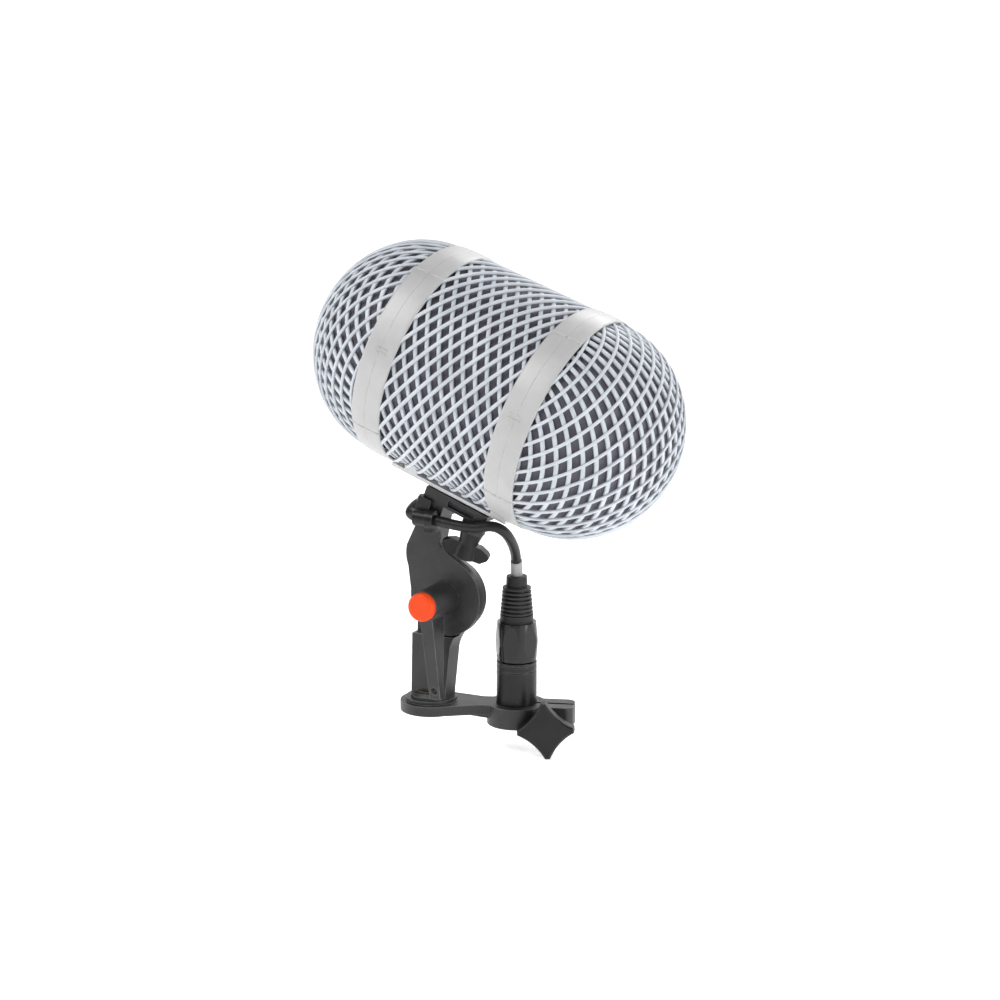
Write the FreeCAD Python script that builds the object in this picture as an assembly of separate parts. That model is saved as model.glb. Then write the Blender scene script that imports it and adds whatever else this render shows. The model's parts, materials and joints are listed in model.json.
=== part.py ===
import FreeCAD, Part
import math
import os

V = FreeCAD.Vector

# ---- driving dimensions, millimetres and degrees ----

# basket: a lattice tube with a lattice dome at each end, on a tilted axis
basket_tilt = 20.5          # nose-down angle of the basket axis
lattice_radius = 50.1       # outside of the moulded net
lattice_wall = 2.0
lining_wall = 0.8
lining_gap = 0.3            # between the net and its fabric lining
body_half = 35.55           # from the basket's middle to the joint between body and cap
ring_width = 7.3            # one half of a band
band_radius = 51.5          # outside of the bands
seam_gap = 0.3              # between a body ring and its cap ring
flange_depth = 2.0          # ring flange that closes the net's end
spigot_wall = 0.9
spigot_length = 5.8
slide_gap = 0.35            # cap spigot in the body ring
front_dome_length = 48.0    # from the band's outer edge to the pole
rear_dome_length = 46.4
pole_flat = 1.5             # radius of the small flat at each pole

# rail under the basket and its screws
rail_half_width = 7.0
rail_thickness = 1.6
rail_standoff = 1.5         # rail above it to the bands
rail_slot_width = 6.4
rail_front = 29.3
rail_rear = -34.5
rail_foot_length = 7.0
slide_back = 4.0            # travel of the basket along the shoe
slide_forward = 8.0
rail_screw_radius = 1.5
rail_screw_head = 3.0
rail_screw_place = 24.0     # from the basket's middle
screw_clearance = 0.1

# suspension inside the basket
bar_half_width = 6.0
bar_thickness = 4.0
bar_half_length = 31.0
bar_gap = 1.3               # bar to lining
lyre_places = {"rear": -8.0, "front": 24.0}
lyre_thickness = 5.0
lyre_outer_radius = 28.6
lyre_strand = 2.3
mic_clip_radius = 10.2      # bore that grips the microphone
mic_clip_wall = 2.0
mic_clip_length = 10.0
mic_clip_mouth = 50.0       # half of the clip's open angle

# pivot between stem and neck
pivot_x = 9.8
pivot_z = 56.2
basket_back = 11.8          # pivot ahead of the basket's middle, along its axis
basket_rise = 102.1         # basket axis above the pivot, square to the axis
arm_half_depth = 4.2
arm_lobe_radius = 18.4
arm_rebate_radius = 24.4    # room for the stem when the neck tips back
lap_gap = 0.15              # half of the gap between the two laps
stem_half_depth = 4.8
stem_head_radius = 17.2
pivot_bolt_radius = 3.0
pivot_clearance = 0.05
washer_radius = 9.0
washer_thickness = 1.0

# shoe under the rail
shoe_gap = 0.4
shoe_half_width = 8.0
shoe_rear = -13.4
shoe_front = 20.6
shoe_bar_depth = 5.8
shoe_block_depth = 11.9
shoe_block_length = 11.5
stud_place = 12.2           # clamp stud along the basket axis
stud_radius = 3.0
stud_boss_radius = 6.0
stud_boss_depth = 6.6
wing_reach = 11.6
wing_drop = 13.4            # height of the wing knob below the boss
wing_turn = 20.0            # the wings' turn from the basket axis at rest

# lever and its button
lever_gap = 0.3
hub_base_radius = 7.8
hub_tip_radius = 7.1
hub_face = -24.2            # front of the hub
button_radius = 6.6
button_proud = 3.8
button_clearance = 0.1
lever_length = 47.0
lever_top_width = 6.6
lever_end_width = 5.8

# clip arm, clamp ring and connector
arm_turn = 20.0             # the clip arm's turn about the stem
arm_thickness = 4.8
arm_round_radius = 14.9
foot_boss_radius = 12.2
foot_boss_height = 1.8
connector_place = 40.6      # connector axis from the stem axis
clamp_ring_radius = 14.0
clamp_ring_height = 9.8
connector_radius = 9.5
connector_clearance = 0.1
gusset_drop = 2.2
ear_half_depth = 7.5
ear_end = 68.0
ear_slot = 2.0
clip_bolt_place = 56.5
clip_bolt_drop = 3.3
clip_bolt_radius = 2.0
star_radius = 13.3
star_back = 14.5
star_thickness = 5.5
star_bevel = 0.7
thread_radius = 4.8         # hole for a 3/8 inch boom stud
thread_depth = 9.8
bush_radius = 7.0
shell_top = 25.2
nut_bottom = 26.1
nut_top = 44.2
boot_rib_top = 61.2
boot_top = 66.0
pin_radius = 1.2
pin_circle = 4.2

# cable
cable_radius = 2.4
inner_cable_radius = 1.75
cable_fit = 0.05
grommet_place = -10.6
grommet_side = 13.0
clamp_wall = 1.6

# ---- frames ----

tilt = FreeCAD.Rotation(V(0, 1, 0), basket_tilt)
pivot = V(pivot_x, 0, pivot_z)
basket_middle = pivot + tilt.multVec(V(-basket_back, 0, basket_rise))
basket_frame = FreeCAD.Placement(basket_middle, tilt)
arm_frame = FreeCAD.Placement(V(0, 0, 0), FreeCAD.Rotation(V(0, 0, 1), arm_turn))
connector_axis = arm_frame.multVec(V(connector_place, 0, 0))

lining_radius = lattice_radius - lattice_wall - lining_gap
lining_inner = lining_radius - lining_wall
lattice_inner = lattice_radius - lattice_wall
ring_bore = lattice_inner - 1.9
rail_top = band_radius + rail_standoff
rail_bottom = rail_top + rail_thickness
shoe_top = rail_bottom + shoe_gap
shoe_block_bottom = shoe_top + shoe_block_depth
shoe_bar_bottom = shoe_top + shoe_bar_depth
boss_bottom = shoe_bar_bottom + stud_boss_depth


def in_basket(shape):
    """A shape drawn along the basket (X along its axis, Z away from the rail), put in place."""
    shape.transformShape(basket_frame.toMatrix(), True)
    return shape


def in_arm(shape):
    """A shape drawn along the clip arm, put in place."""
    shape.transformShape(arm_frame.toMatrix(), True)
    return shape


def rod(radius, start, end):
    start, end = V(*start), V(*end)
    along = end - start
    return Part.makeCylinder(radius, along.Length, start, along)


def cone(radius_a, radius_b, start, end):
    start, end = V(*start), V(*end)
    along = end - start
    return Part.makeCone(radius_a, radius_b, along.Length, start, along)


def block(low, high):
    return Part.makeBox(high[0] - low[0], high[1] - low[1], high[2] - low[2], V(*low))


def tube(outer, inner, start, end):
    """A tube along the basket axis."""
    low, high = sorted((start, end))
    return rod(outer, (low, 0, 0), (high, 0, 0)).cut(rod(inner, (low - 1, 0, 0), (high + 1, 0, 0)))


def fused(shapes):
    whole = shapes[0]
    for shape in shapes[1:]:
        whole = whole.fuse(shape)
    return whole.removeSplitter()


def prism(points, low_y, high_y):
    """A closed outline in X and Z, drawn out along Y."""
    corners = [V(x, low_y, z) for x, z in points]
    face = Part.Face(Part.makePolygon(corners + corners[:1]))
    return face.extrude(V(0, high_y - low_y, 0))


def outline_prism(edges, low_y, high_y):
    """A closed outline of line and arc edges at y = 0, drawn out along Y."""
    face = Part.Face(Part.Wire(edges))
    solid = face.extrude(V(0, high_y - low_y, 0))
    solid.translate(V(0, low_y, 0))
    return solid


def line(a, b):
    return Part.LineSegment(V(a[0], 0, a[1]), V(b[0], 0, b[1])).toShape()


def arc(a, middle, b):
    return Part.Arc(V(a[0], 0, a[1]), V(middle[0], 0, middle[1]), V(b[0], 0, b[1])).toShape()


def around(centre, radius, degrees):
    angle = math.radians(degrees)
    return (centre[0] + radius * math.cos(angle), centre[1] + radius * math.sin(angle))


def sector(inner, outer, start, end, half_length):
    """A band about the X axis from one angle to another, measured from +Y towards +Z."""
    corners = [V(-half_length, inner, 0), V(-half_length, outer, 0), V(half_length, outer, 0),
               V(half_length, inner, 0)]
    section = Part.Face(Part.makePolygon(corners + corners[:1]))
    band = section.revolve(V(0, 0, 0), V(1, 0, 0), end - start)
    band.rotate(V(0, 0, 0), V(1, 0, 0), start)
    return band


def save(name, shape):
    if not shape.isValid():
        print("NOT VALID", name)
    shape.exportStep("parts/" + name + ".step")
    print(f"{name:20s} solids {len(shape.Solids)} volume {shape.Volume:10.1f}")


# ---- cables ----

def tangent_path(points, share=0.45):
    """Straight runs joined by arcs that touch both of them, and the arcs' radii."""
    points = [V(*p) for p in points]
    edges = []
    radii = []
    here = points[0]
    for before, corner, after in zip(points, points[1:], points[2:]):
        into = (corner - before).normalize()
        away = (after - corner).normalize()
        turn = into.getAngle(away)
        cut = share * min((corner - before).Length, (after - corner).Length)
        radius = cut / math.tan(turn / 2)
        start = corner - into * cut
        end = corner + away * cut
        inward = (away - into).normalize()
        middle = corner + inward * (radius / math.cos(turn / 2) - radius)
        edges.append(Part.LineSegment(here, start).toShape())
        edges.append(Part.Arc(start, middle, end).toShape())
        radii.append(round(radius, 1))
        here = end
    edges.append(Part.LineSegment(here, points[-1]).toShape())
    return Part.Wire(edges), radii


def cable(name, points, radius):
    wire, radii = tangent_path(points)
    start = V(*points[0])
    along = V(*points[1]) - start
    section = Part.Wire([Part.Circle(start, along, radius).toShape()])
    solid = wire.makePipeShell([section], True, False)
    expected = math.pi * radius ** 2 * wire.Length
    print(f"{name}: radii {radii}, length {wire.Length:.1f}, volume {solid.Volume / expected:.4f} of section x length")
    return solid


def from_basket(s, y, drop):
    """A point given along the basket axis, to the side, and below the axis."""
    p = basket_frame.multVec(V(s, y, -drop))
    return (p.x, p.y, p.z)


# upper lead: from the grommet behind the shoe, round its rear end, into the clamp
clamp_start = (-1.7, -10.6, 94.4)
clamp_end = (9.0, -10.6, 93.9)
clamp_exit = (8.7, -10.6, 93.91)
upper_route = [
    from_basket(grommet_place, grommet_side, 49.0),
    from_basket(grommet_place, grommet_side, 59.5),
    from_basket(grommet_place - 5.2, grommet_side - 2.0, 67.5),
    (-7.2, 5.4, 99.0),
    (-7.0, -1.6, 98.4),
    (-6.4, -10.6, 94.6),
    clamp_exit,
]
# lower lead: from the clamp, past the wing knob's neck and the rail's end, down into the boot
lower_route = [
    clamp_end,
    (22.5, -10.9, 92.6),
    (32.0, -11.0, 92.6),
    (39.8, -10.6, 95.4),
    (42.8, -6.4, 90.6),
    (41.0, 3.0, 80.2),
    (connector_axis.x, connector_axis.y, 71.0),
    (connector_axis.x, connector_axis.y, boot_top - 4.0),
]
# lead inside the basket: from the plug's tail round to the grommet
plug_front = -15.0
plug_rear = -47.0
inner_route = [
    from_basket(plug_rear - 7.0, 0, 0),
    from_basket(-62.0, 0.5, 1.0),
    from_basket(-69.0, 2.0, 10.0),
    from_basket(-66.5, 4.0, 23.0),
    from_basket(-56.0, 6.5, 33.5),
    from_basket(-42.0, 9.0, 39.0),
    from_basket(-30.0, 10.6, 40.2),
    from_basket(-21.0, 12.4, 38.0),
    from_basket(grommet_place, grommet_side, 36.0),
    from_basket(grommet_place, grommet_side, 49.0),
]


# ---- basket ----

def dome(outer, wall, start, length):
    """Half an ellipsoid shell on the basket axis; length is negative for the rear."""
    sign = 1 if length > 0 else -1
    long_outer = abs(length)
    long_inner = long_outer - wall
    inner = outer - wall

    def end(long_axis, radius):
        return start + sign * long_axis * math.sqrt(1 - (pole_flat / radius) ** 2)

    def quarter(long_axis, radius):
        far = V(start + sign * long_axis, 0, 0)
        side = V(start, 0, radius)
        curve = Part.Ellipse(*((side, far) if long_axis < radius else (far, side)), V(start, 0, 0))
        first = curve.parameter(side)
        last = curve.parameter(V(end(long_axis, radius), 0, pole_flat))
        middle = curve.parameter(V(start + sign * long_axis * math.sqrt(0.5), 0, radius * math.sqrt(0.5)))
        turn = 2 * math.pi
        if not min(first, last) < middle < max(first, last):
            if first < last:
                first += turn
            else:
                last += turn
        if first > last:
            first, last = last, first
        return Part.ArcOfEllipse(curve, first, last).toShape()

    outer_end = end(long_outer, outer)
    inner_end = end(long_inner, inner)
    edges = [
        quarter(long_outer, outer),
        line((outer_end, pole_flat), (outer_end, 0)),
        line((outer_end, 0), (inner_end, 0)),
        line((inner_end, 0), (inner_end, pole_flat)),
        quarter(long_inner, inner),
        line((start, inner), (start, outer)),
    ]
    face = Part.Face(Part.Wire(Part.__sortEdges__(edges)))
    solid = face.revolve(V(0, 0, 0), V(1, 0, 0), 360)
    return Part.makeSolid(solid) if solid.ShapeType != "Solid" else solid


def screw_places():
    return (-rail_screw_place, rail_screw_place)


def screw_holes(radius, near, far):
    """The two rail screws' holes, between two depths below the axis."""
    return fused([rod(radius, (s, 0, -near), (s, 0, -far)) for s in screw_places()])


def lead_hole(radius):
    return rod(radius, (grommet_place, grommet_side, -40), (grommet_place, grommet_side, -60))


def body_ring(sign):
    inner_face = body_half - ring_width
    band = tube(band_radius, lattice_radius + 0.05, sign * inner_face, sign * body_half)
    flange = tube(lattice_radius + 0.05, ring_bore, sign * (body_half - flange_depth), sign * body_half)
    return fused([band, flange])


def cap_ring(sign):
    start = body_half + seam_gap
    band = tube(band_radius, lattice_radius + 0.05, sign * start, sign * (start + ring_width))
    flange = tube(lattice_radius + 0.05, ring_bore - slide_gap - spigot_wall,
                  sign * start, sign * (start + flange_depth))
    spigot = tube(ring_bore - slide_gap, ring_bore - slide_gap - spigot_wall,
                  sign * (start + flange_depth - spigot_length), sign * (start + flange_depth))
    return fused([band, flange, spigot])


def make_basket():
    net_end = body_half - flange_depth
    net = tube(lattice_radius, lattice_inner, -net_end, net_end)
    lining = tube(lining_radius, lining_inner, -net_end, net_end)
    holes = screw_holes(rail_screw_radius + screw_clearance, 40, 60)
    hole = lead_hole(4.3)
    save("centre_basket", in_basket(net.cut(holes).cut(hole)))
    save("centre_lining", in_basket(lining.cut(holes).cut(hole)))
    for side, sign, length in (("front", 1, front_dome_length), ("rear", -1, rear_dome_length)):
        start = sign * (body_half + seam_gap + flange_depth)
        skirt_end = sign * (body_half + seam_gap + ring_width)
        net = fused([tube(lattice_radius, lattice_inner, start, skirt_end),
                     dome(lattice_radius, lattice_wall, skirt_end, sign * length)])
        thin = lining_gap + lattice_wall
        lining = fused([tube(lining_radius, lining_inner, start, skirt_end),
                        dome(lining_radius, lining_wall, skirt_end, sign * (length - thin))])
        save(side + "_cap_basket", in_basket(net))
        save(side + "_cap_lining", in_basket(lining))
        save(side + "_body_ring", in_basket(body_ring(sign)))
        save(side + "_cap_ring", in_basket(cap_ring(sign)))


# ---- rail, bar and suspension ----

def make_rail():
    strip = block((rail_rear, -rail_half_width, -rail_bottom), (rail_front, rail_half_width, -rail_top))
    half_foot = rail_foot_length / 2
    feet = [block((s - half_foot, -rail_half_width, -rail_top - 0.1),
                  (s + half_foot, rail_half_width, -lattice_radius + 1.5)) for s in screw_places()]
    rail = fused([strip] + feet)
    rail = rail.cut(rod(lattice_radius, (rail_rear - 1, 0, 0), (rail_front + 1, 0, 0)))
    slot_front = stud_place + slide_back + 0.5
    slot_rear = stud_place - slide_forward - 0.5
    slot = block((slot_rear, -rail_slot_width / 2, -rail_bottom - 1),
                 (slot_front, rail_slot_width / 2, -rail_top + 1))
    ends = [rod(rail_slot_width / 2, (s, 0, -rail_bottom - 1), (s, 0, -rail_top + 1))
            for s in (slot_rear, slot_front)]
    rail = rail.cut(fused([slot] + ends))
    rail = rail.cut(screw_holes(rail_screw_radius + screw_clearance, 40, 60))
    sink = rail_screw_head - rail_screw_radius
    screws = []
    for s in screw_places():
        head = cone(rail_screw_head, rail_screw_radius, (s, 0, -rail_bottom), (s, 0, -rail_bottom + sink))
        seat = cone(rail_screw_head + screw_clearance, rail_screw_radius + screw_clearance,
                    (s, 0, -rail_bottom), (s, 0, -rail_bottom + sink))
        rail = rail.cut(seat)
        shank = rod(rail_screw_radius, (s, 0, -rail_bottom), (s, 0, -lining_inner + bar_gap + bar_thickness - 0.6))
        socket = rod(0.9, (s, 0, -rail_bottom - 0.1), (s, 0, -rail_bottom + 0.9))
        screws.append(fused([head, shank]).cut(socket))
    save("rail", in_basket(rail))
    save("rail_screws", in_basket(Part.makeCompound(screws)))


def bar_top():
    """Depth below the axis of the bar's upper face."""
    return lining_inner - bar_gap - bar_thickness


def make_suspension():
    bottom = bar_top() + bar_thickness
    bar = block((-bar_half_length, -bar_half_width, -bottom), (bar_half_length, bar_half_width, -bar_top()))
    bar = bar.cut(screw_holes(rail_screw_radius + 0.05, bar_top() - 1, bottom + 1))
    save("suspension_bar", in_basket(bar))
    clip_outer = mic_clip_radius + mic_clip_wall
    half = lyre_thickness / 2
    outer = lyre_outer_radius
    inner_arc = outer - lyre_strand - 5.2
    turn_middle = (outer + inner_arc) / 2
    turn_radius = (outer - inner_arc) / 2 + lyre_strand / 2
    for side, place in lyre_places.items():
        strands = [sector(outer - lyre_strand, outer, -238, 58, half)]
        for hand in (-1, 1):
            top = math.radians(58)
            middle = (hand * (turn_middle - lyre_strand / 2) * math.cos(top),
                      (turn_middle - lyre_strand / 2) * math.sin(top))
            hairpin = rod(turn_radius, (-half, middle[0], middle[1]), (half, middle[0], middle[1]))
            eye = rod(turn_radius - lyre_strand, (-half - 1, middle[0], middle[1]), (half + 1, middle[0], middle[1]))
            strands.append(hairpin.cut(eye))
            if hand > 0:
                strands.append(sector(inner_arc - lyre_strand, inner_arc, -4, 54, half))
            else:
                strands.append(sector(inner_arc - lyre_strand, inner_arc, 126, 184, half))
            low = sorted((hand * (clip_outer - 0.8), hand * (inner_arc - 0.6)))
            strands.append(block((-half, low[0], -1.2), (half, low[1], 1.2)))
        strands.append(block((-half, -bar_half_width, -bar_top()), (half, bar_half_width, -outer + 1.0)))
        lyre = fused(strands)
        lyre = lyre.cut(rod(clip_outer, (-half - 1, 0, 0), (half + 1, 0, 0)))
        lyre.translate(V(place, 0, 0))
        clip = sector(mic_clip_radius, clip_outer, 90 + mic_clip_mouth, 450 - mic_clip_mouth, mic_clip_length / 2)
        clip.translate(V(place, 0, 0))
        save(side + "_lyre", in_basket(lyre))
        save(side + "_mic_clip", in_basket(clip))
    plug = fused([rod(9.0, (plug_rear, 0, 0), (plug_front, 0, 0)),
                  cone(4.2, 7.6, (plug_rear - 7.0, 0, 0), (plug_rear, 0, 0))])
    plug = plug.cut(rod(7.4, (plug_front - 12.0, 0, 0), (plug_front + 1, 0, 0)))
    plug = plug.cut(rod(inner_cable_radius + cable_fit, (plug_rear - 8.0, 0, 0), (plug_rear - 7.0, 0, 0)))
    face = rod(7.3, (plug_front - 12.0, 0, 0), (plug_front - 0.8, 0, 0))
    for angle in (0, 90, 180):
        y, z = around((0, 0), pin_circle, angle)
        face = face.cut(rod(pin_radius + 0.1, (plug_front - 11.0, y, z), (plug_front, y, z)))
    save("inner_plug", in_basket(plug))
    save("inner_plug_insert", in_basket(face))
    save("inner_cable", cable("inner_cable", inner_route, inner_cable_radius))
    inside = rod(5.2, (grommet_place, grommet_side, -41.6), (grommet_place, grommet_side, -43.0))
    neck = rod(4.1, (grommet_place, grommet_side, -41.6), (grommet_place, grommet_side, -52.0))
    flare = cone(5.4, 4.0, (grommet_place, grommet_side, -50.0), (grommet_place, grommet_side, -52.6))
    grommet = fused([inside, neck, flare])
    grommet = grommet.cut(rod(cable_radius + cable_fit, (grommet_place, grommet_side, -48.9),
                              (grommet_place, grommet_side, -60)))
    grommet = grommet.cut(rod(inner_cable_radius + 0.3, (grommet_place, grommet_side, -40),
                              (grommet_place, grommet_side, -49)))
    save("cable_grommet", in_basket(grommet))


# ---- head: neck arm, shoe, clamp, stud ----

def shoe_point(s, drop):
    p = from_basket(s, 0, drop)
    return (p[0], p[2])


def arm_outline():
    """The swan neck from the shoe's underside round the lobe at the pivot."""
    centre = (pivot_x, pivot_z)
    top_rear = shoe_point(shoe_rear, shoe_block_bottom)
    top_front = shoe_point(shoe_rear + shoe_block_length, shoe_block_bottom)
    back_knee = (pivot_x - 20.3, pivot_z + 23.4)
    back_waist = (pivot_x - 19.8, pivot_z + 13.6)
    lobe_left = around(centre, arm_lobe_radius, 174)
    lobe_low = around(centre, arm_lobe_radius, -60)
    lobe_top = around(centre, arm_lobe_radius, 62)
    inner_low = (pivot_x - 0.4, pivot_z + 22.4)
    inner_high = (pivot_x - 2.9, pivot_z + 26.2)
    return [
        line(top_rear, back_knee),
        arc(back_knee, (pivot_x - 20.8, pivot_z + 18.4), back_waist),
        line(back_waist, lobe_left),
        arc(lobe_left, lobe_low, lobe_top),
        line(lobe_top, inner_low),
        arc(inner_low, (pivot_x - 2.3, pivot_z + 23.8), inner_high),
        line(inner_high, top_front),
        line(top_front, top_rear),
    ]


def face_edges(shape, y):
    """The edges that lie in the plane at this y."""
    return [e for e in shape.Edges if abs(e.BoundBox.YMin - y) < 0.01 and abs(e.BoundBox.YMax - y) < 0.01]


def make_neck_arm():
    arm = outline_prism(arm_outline(), -arm_half_depth, arm_half_depth)
    lap = rod(arm_rebate_radius, (pivot_x, -lap_gap, pivot_z), (pivot_x, arm_half_depth + 1, pivot_z))
    arm = arm.cut(lap)
    arm = arm.cut(block((pivot_x - 30, -lap_gap, pivot_z - 30), (pivot_x + 30, arm_half_depth + 1, pivot_z + 2)))
    hole = rod(pivot_bolt_radius + pivot_clearance, (pivot_x, -20, pivot_z), (pivot_x, 20, pivot_z))
    pocket = rod(washer_radius + 0.2, (pivot_x, -lap_gap - washer_thickness / 2, pivot_z), (pivot_x, 20, pivot_z))
    arm = arm.cut(hole).cut(pocket)
    for s in shoe_screw_places():
        arm = arm.cut(in_basket(rod(1.3, (s, 0, -shoe_block_bottom + 1), (s, 0, -shoe_block_bottom - 9))))
    save("neck_arm", arm)


def shoe_screw_places():
    return (shoe_rear + 2.9, shoe_rear + 8.6)


def make_shoe():
    bar = block((shoe_rear, -shoe_half_width, -shoe_bar_bottom), (shoe_front, shoe_half_width, -shoe_top))
    tail = block((shoe_rear, -shoe_half_width, -shoe_block_bottom),
                 (shoe_rear + shoe_block_length, shoe_half_width, -shoe_top))
    boss = rod(stud_boss_radius, (stud_place, 0, -shoe_top - 1), (stud_place, 0, -boss_bottom))
    nose = prism([(shoe_front - 4.0, -shoe_bar_bottom - 0.1), (shoe_front + 0.1, -shoe_top - 2.4),
                  (shoe_front + 0.1, -shoe_bar_bottom - 0.1)], -20, 20)
    shoe = fused([bar.cut(nose), tail, boss])
    recess_depth = 1.6
    for side in (-1, 1):
        low = sorted((side * (shoe_half_width - recess_depth), side * (shoe_half_width + 1)))
        shoe = shoe.cut(block((shoe_rear + 13.0, low[0], -shoe_top - 4.4),
                              (shoe_front - 6.5, low[1], -shoe_top - 1.6)))
    shoe = shoe.cut(rod(stud_radius + 0.1, (stud_place, 0, -rail_top), (stud_place, 0, -boss_bottom - 1)))
    screws = []
    for s in shoe_screw_places():
        shoe = shoe.cut(rod(1.7, (s, 0, -shoe_top + 1), (s, 0, -shoe_block_bottom - 1)))
        shoe = shoe.cut(rod(2.7, (s, 0, -shoe_top + 1), (s, 0, -shoe_top - 2.6)))
        head = rod(2.5, (s, 0, -shoe_top - 0.2), (s, 0, -shoe_top - 2.6))
        shank = rod(1.25, (s, 0, -shoe_top - 1), (s, 0, -shoe_block_bottom - 8))
        socket = rod(1.1, (s, 0, -shoe_top), (s, 0, -shoe_top - 1.6))
        screws.append(fused([head, shank]).cut(socket))
    screw_drop = 63.4
    shoe = shoe.cut(rod(1.1, (shoe_rear - 1, -4.6, -screw_drop), (shoe_rear + 2.4, -4.6, -screw_drop)))
    save("shoe", in_basket(shoe))
    save("shoe_screws", in_basket(Part.makeCompound(screws)))
    make_clamp(screw_drop)
    plate = block((stud_place - 3.6, -5.2, -rail_top + 0.3), (stud_place + 3.6, 5.2, -rail_top + 1.8))
    stud = fused([plate, rod(stud_radius, (stud_place, 0, -rail_top + 0.4),
                             (stud_place, 0, -boss_bottom - 9.0))])
    save("clamp_stud", in_basket(stud))


def make_clamp(screw_drop):
    """P-clip: a barrel round the lead, a lug on the shoe's side and a tab on its rear end."""
    outer = cable_radius + clamp_wall
    barrel = rod(outer, clamp_start, clamp_end)
    collar = cone(outer + 0.9, outer + 0.5, (5.0, -10.6, 94.09), clamp_end)
    jaw = block((3.6, -12.8, 88.0), (8.8, -4.9, 92.6))
    lug = in_basket(block((shoe_rear - 1.4, -shoe_half_width - 1.6, -69.4),
                          (shoe_rear + 5.6, -shoe_half_width - 0.02, -60.2)))
    tab = in_basket(block((shoe_rear - 1.4, -shoe_half_width - 1.6, -66.4), (shoe_rear - 0.02, -1.6, -60.2)))
    clamp = fused([barrel, collar, jaw, lug, tab])
    bore = rod(cable_radius + cable_fit, tuple(V(*clamp_start) - (V(*clamp_end) - V(*clamp_start))),
               tuple(V(*clamp_end) + (V(*clamp_end) - V(*clamp_start))))
    clamp = clamp.cut(bore)
    clamp = clamp.cut(in_basket(rod(1.2, (shoe_rear - 2, -4.6, -screw_drop), (shoe_rear, -4.6, -screw_drop))))
    clamp = clamp.cut(in_basket(block((shoe_rear, -shoe_half_width, -shoe_block_bottom),
                                      (shoe_rear + shoe_block_length, 0, -shoe_top))))
    arm_room = outline_prism(arm_outline(), -arm_half_depth, arm_half_depth)
    clamp = clamp.cut(arm_room)
    clamp = clamp.cut(cable("clamp_room", upper_route[3:-1] + [clamp_end], cable_radius + cable_fit))
    save("cable_clamp", clamp)
    head = rod(2.2, (shoe_rear - 1.4, -4.6, -screw_drop), (shoe_rear - 3.2, -4.6, -screw_drop))
    shank = rod(1.0, (shoe_rear - 1.5, -4.6, -screw_drop), (shoe_rear + 2.2, -4.6, -screw_drop))
    slot = block((shoe_rear - 3.3, -7.0, -screw_drop - 0.3), (shoe_rear - 2.5, -2.0, -screw_drop + 0.3))
    save("clamp_screw", in_basket(fused([head, shank]).cut(slot)))


def make_wing_knob():
    top = boss_bottom + 0.3
    bottom = top + wing_drop
    neck = cone(5.6, 4.4, (0, 0, -top), (0, 0, -top - 6.0))
    hub = cone(4.4, 5.4, (0, 0, -top - 6.0), (0, 0, -bottom))
    half = 2.6
    wings = []
    for hand in (-1, 1):
        outline = [(0, -bottom), (0, -bottom + 7.2), (hand * (wing_reach - 5.0), -bottom + 7.4),
                   (hand * (wing_reach - 1.2), -bottom + 5.6), (hand * wing_reach, -bottom + 4.2),
                   (hand * (wing_reach - 0.6), -bottom + 2.4), (hand * (wing_reach - 3.4), -bottom)]
        wings.append(prism(outline, -half, half))
    knob = fused([neck, hub] + wings)
    knob = knob.cut(rod(stud_radius + pivot_clearance, (0, 0, -top + 1), (0, 0, -top - 9.4)))
    knob.rotate(V(0, 0, 0), V(0, 0, 1), wing_turn)
    knob.translate(V(stud_place, 0, 0))
    save("wing_knob", in_basket(knob))


# ---- stem, pivot, lever ----

def make_stem():
    centre = (pivot_x, pivot_z)
    foot = arm_thickness + foot_boss_height
    head_left = around(centre, stem_head_radius, 188)
    head_top = around(centre, stem_head_radius, 80)
    head_right = around(centre, stem_head_radius, -52)
    flank = (pivot_x + 2.8, pivot_z - 24.5)
    edges = [
        line((-8.4, foot), head_left),
        arc(head_left, head_top, head_right),
        arc(head_right, (pivot_x + 5.5, pivot_z - 18.4), flank),
        line(flank, (9.8, foot)),
        line((9.8, foot), (-8.4, foot)),
    ]
    body = outline_prism(edges, -stem_half_depth, stem_half_depth)
    ledge = pivot_z - arm_lobe_radius - 0.5
    body = body.cut(block((-40, -stem_half_depth - 1, ledge), (60, lap_gap, pivot_z + 40)))
    round_foot = fused([rod(9.9, (0, 0, foot), (0, 0, foot + 1.0)),
                        cone(9.9, 8.4, (0, 0, foot + 1.0), (0, 0, foot + 2.4))])
    stem = fused([body, round_foot])
    stem = stem.cut(rod(bush_radius, (0, 0, 0), (0, 0, thread_depth)))
    stem = stem.cut(rod(pivot_bolt_radius + pivot_clearance, (pivot_x, -20, pivot_z), (pivot_x, 20, pivot_z)))
    stem = stem.cut(rod(washer_radius + 0.2, (pivot_x, -1, pivot_z),
                        (pivot_x, lap_gap + washer_thickness / 2, pivot_z)))
    nut_seat = rod(5.6, (pivot_x, stem_half_depth - 1.6, pivot_z), (pivot_x, stem_half_depth + 1, pivot_z))
    save("stem", stem.cut(nut_seat))


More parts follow.
